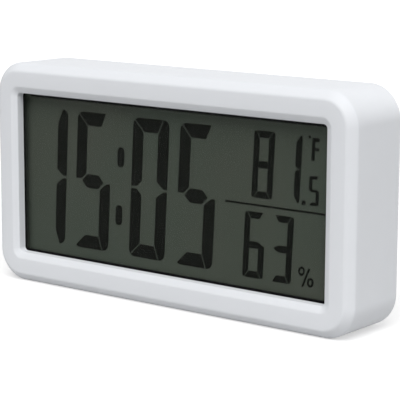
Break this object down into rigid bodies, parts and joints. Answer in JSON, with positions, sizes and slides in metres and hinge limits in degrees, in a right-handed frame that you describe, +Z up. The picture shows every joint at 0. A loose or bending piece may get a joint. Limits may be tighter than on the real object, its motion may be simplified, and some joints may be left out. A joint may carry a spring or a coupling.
{
  "type": "thermometer hygrometer clock",
  "caption": "Free-standing digital desk clock with temperature and humidity display, in a deep rounded case with a recessed window, rear push buttons and a battery door.",
  "frame": {"origin": "centre of the bottom, on the surface that the clock stands on", "axes": "+Z up, +X along the width to the right of someone reading the display, +Y from the display to the back"},
  "size_m": [0.16, 0.0286, 0.0823],
  "materials": {
    "case_plastic": "fine satin moulded finish",
    "button_plastic": "satin",
    "window_acrylic": "clear polished",
    "mask_black": "matt",
    "lcd_glass": "clear",
    "polarizer_film": "anti-glare",
    "reflector_film": "satin",
    "frame_plastic": "moulded",
    "contact_rubber": "matt",
    "circuit_board": "solder mask",
    "screw_steel": "zinc plated",
    "chip_resin": "satin",
    "can_steel": "plain",
    "capacitor_ceramic": "matt",
    "capacitor_sleeve": "glossy",
    "switch_plastic": "matt",
    "contact_steel": "nickel plated",
    "cell_jacket": "printed foil jacket",
    "red_wire": "plastic insulation",
    "black_wire": "plastic insulation",
    "ribbon_plastic": "plastic insulation",
    "buzzer_brass": "plain",
    "buzzer_white": "silvered",
    "sensor_white": "matt",
    "sensor_black": "bead"
  },
  "bodies": {
    "case": {"board_capacitors": "capacitor_ceramic", "bridge_contact": "contact_steel", "button_board": "circuit_board", "button_board_screws": "screw_steel", "buzzer_ceramic": "buzzer_white", "buzzer_disc": "buzzer_brass", "buzzer_leads": "black_wire", "chip_cover": "chip_resin", "clock_crystal": "can_steel", "cover_screws": "screw_steel", "display_window": "window_acrylic", "down_switch": "switch_plastic", "front_housing": "case_plastic", "front_polarizer": "polarizer_film", "humidity_sensor": "sensor_white", "lcd_frame": "frame_plastic", "lcd_frame_screws": "screw_steel", "lcd_front_glass": "lcd_glass", "lcd_rear_glass": "lcd_glass", "lower_battery": "cell_jacket", "lower_contact_strip": "contact_rubber", "lower_spring": "contact_steel", "main_board": "circuit_board", "main_board_screws": "screw_steel", "mode_switch": "switch_plastic", "negative_contact": "contact_steel", "negative_lead": "black_wire", "positive_contact": "contact_steel", "positive_lead": "red_wire", "rear_cover": "case_plastic", "rear_polarizer": "reflector_film", "reservoir_capacitor": "capacitor_sleeve", "ribbon_cable": "ribbon_plastic", "sensor_board": "circuit_board", "sensor_board_screw": "screw_steel", "sensor_leads": "black_wire", "set_switch": "switch_plastic", "slide_switch": "can_steel", "temperature_sensor": "sensor_black", "unit_switch": "switch_plastic", "up_switch": "switch_plastic", "upper_battery": "cell_jacket", "upper_contact_strip": "contact_rubber", "upper_spring": "contact_steel", "window_mask": "mask_black"},
    "door": {"battery_door": "case_plastic"},
    "slider": {"slide_knob": "button_plastic", "slide_lever": "switch_plastic"},
    "mode_key": {"mode_button": "button_plastic", "mode_switch_stem": "switch_plastic"},
    "set_key": {"set_button": "button_plastic", "set_switch_stem": "switch_plastic"},
    "up_key": {"up_button": "button_plastic", "up_switch_stem": "switch_plastic"},
    "down_key": {"down_button": "button_plastic", "down_switch_stem": "switch_plastic"},
    "unit_key": {"unit_button": "button_plastic", "unit_switch_stem": "switch_plastic"}
  },
  "joints": [
    {"name": "mode_press", "type": "slide", "parent": "case", "child": "mode_key", "axis": [0, -1, 0], "range_m": [0, 0.0005], "stiffness_N_per_m": 2000},
    {"name": "set_press", "type": "slide", "parent": "case", "child": "set_key", "axis": [0, -1, 0], "range_m": [0, 0.0005], "stiffness_N_per_m": 2000},
    {"name": "up_press", "type": "slide", "parent": "case", "child": "up_key", "axis": [0, -1, 0], "range_m": [0, 0.0005], "stiffness_N_per_m": 2000},
    {"name": "down_press", "type": "slide", "parent": "case", "child": "down_key", "axis": [0, -1, 0], "range_m": [0, 0.0005], "stiffness_N_per_m": 2000},
    {"name": "unit_press", "type": "slide", "parent": "case", "child": "unit_key", "axis": [0, -1, 0], "range_m": [0, 0.0005], "stiffness_N_per_m": 2000},
    {"name": "alarm_slide", "type": "slide", "parent": "case", "child": "slider", "axis": [1, 0, 0], "range_m": [0, 0.002]},
    {"name": "door_hinge", "type": "hinge", "parent": "case", "child": "door", "pos_m": [0, 0.01325, 0.03245], "axis": [1, 0, 0], "range_deg": [0, 60]}
  ]
}
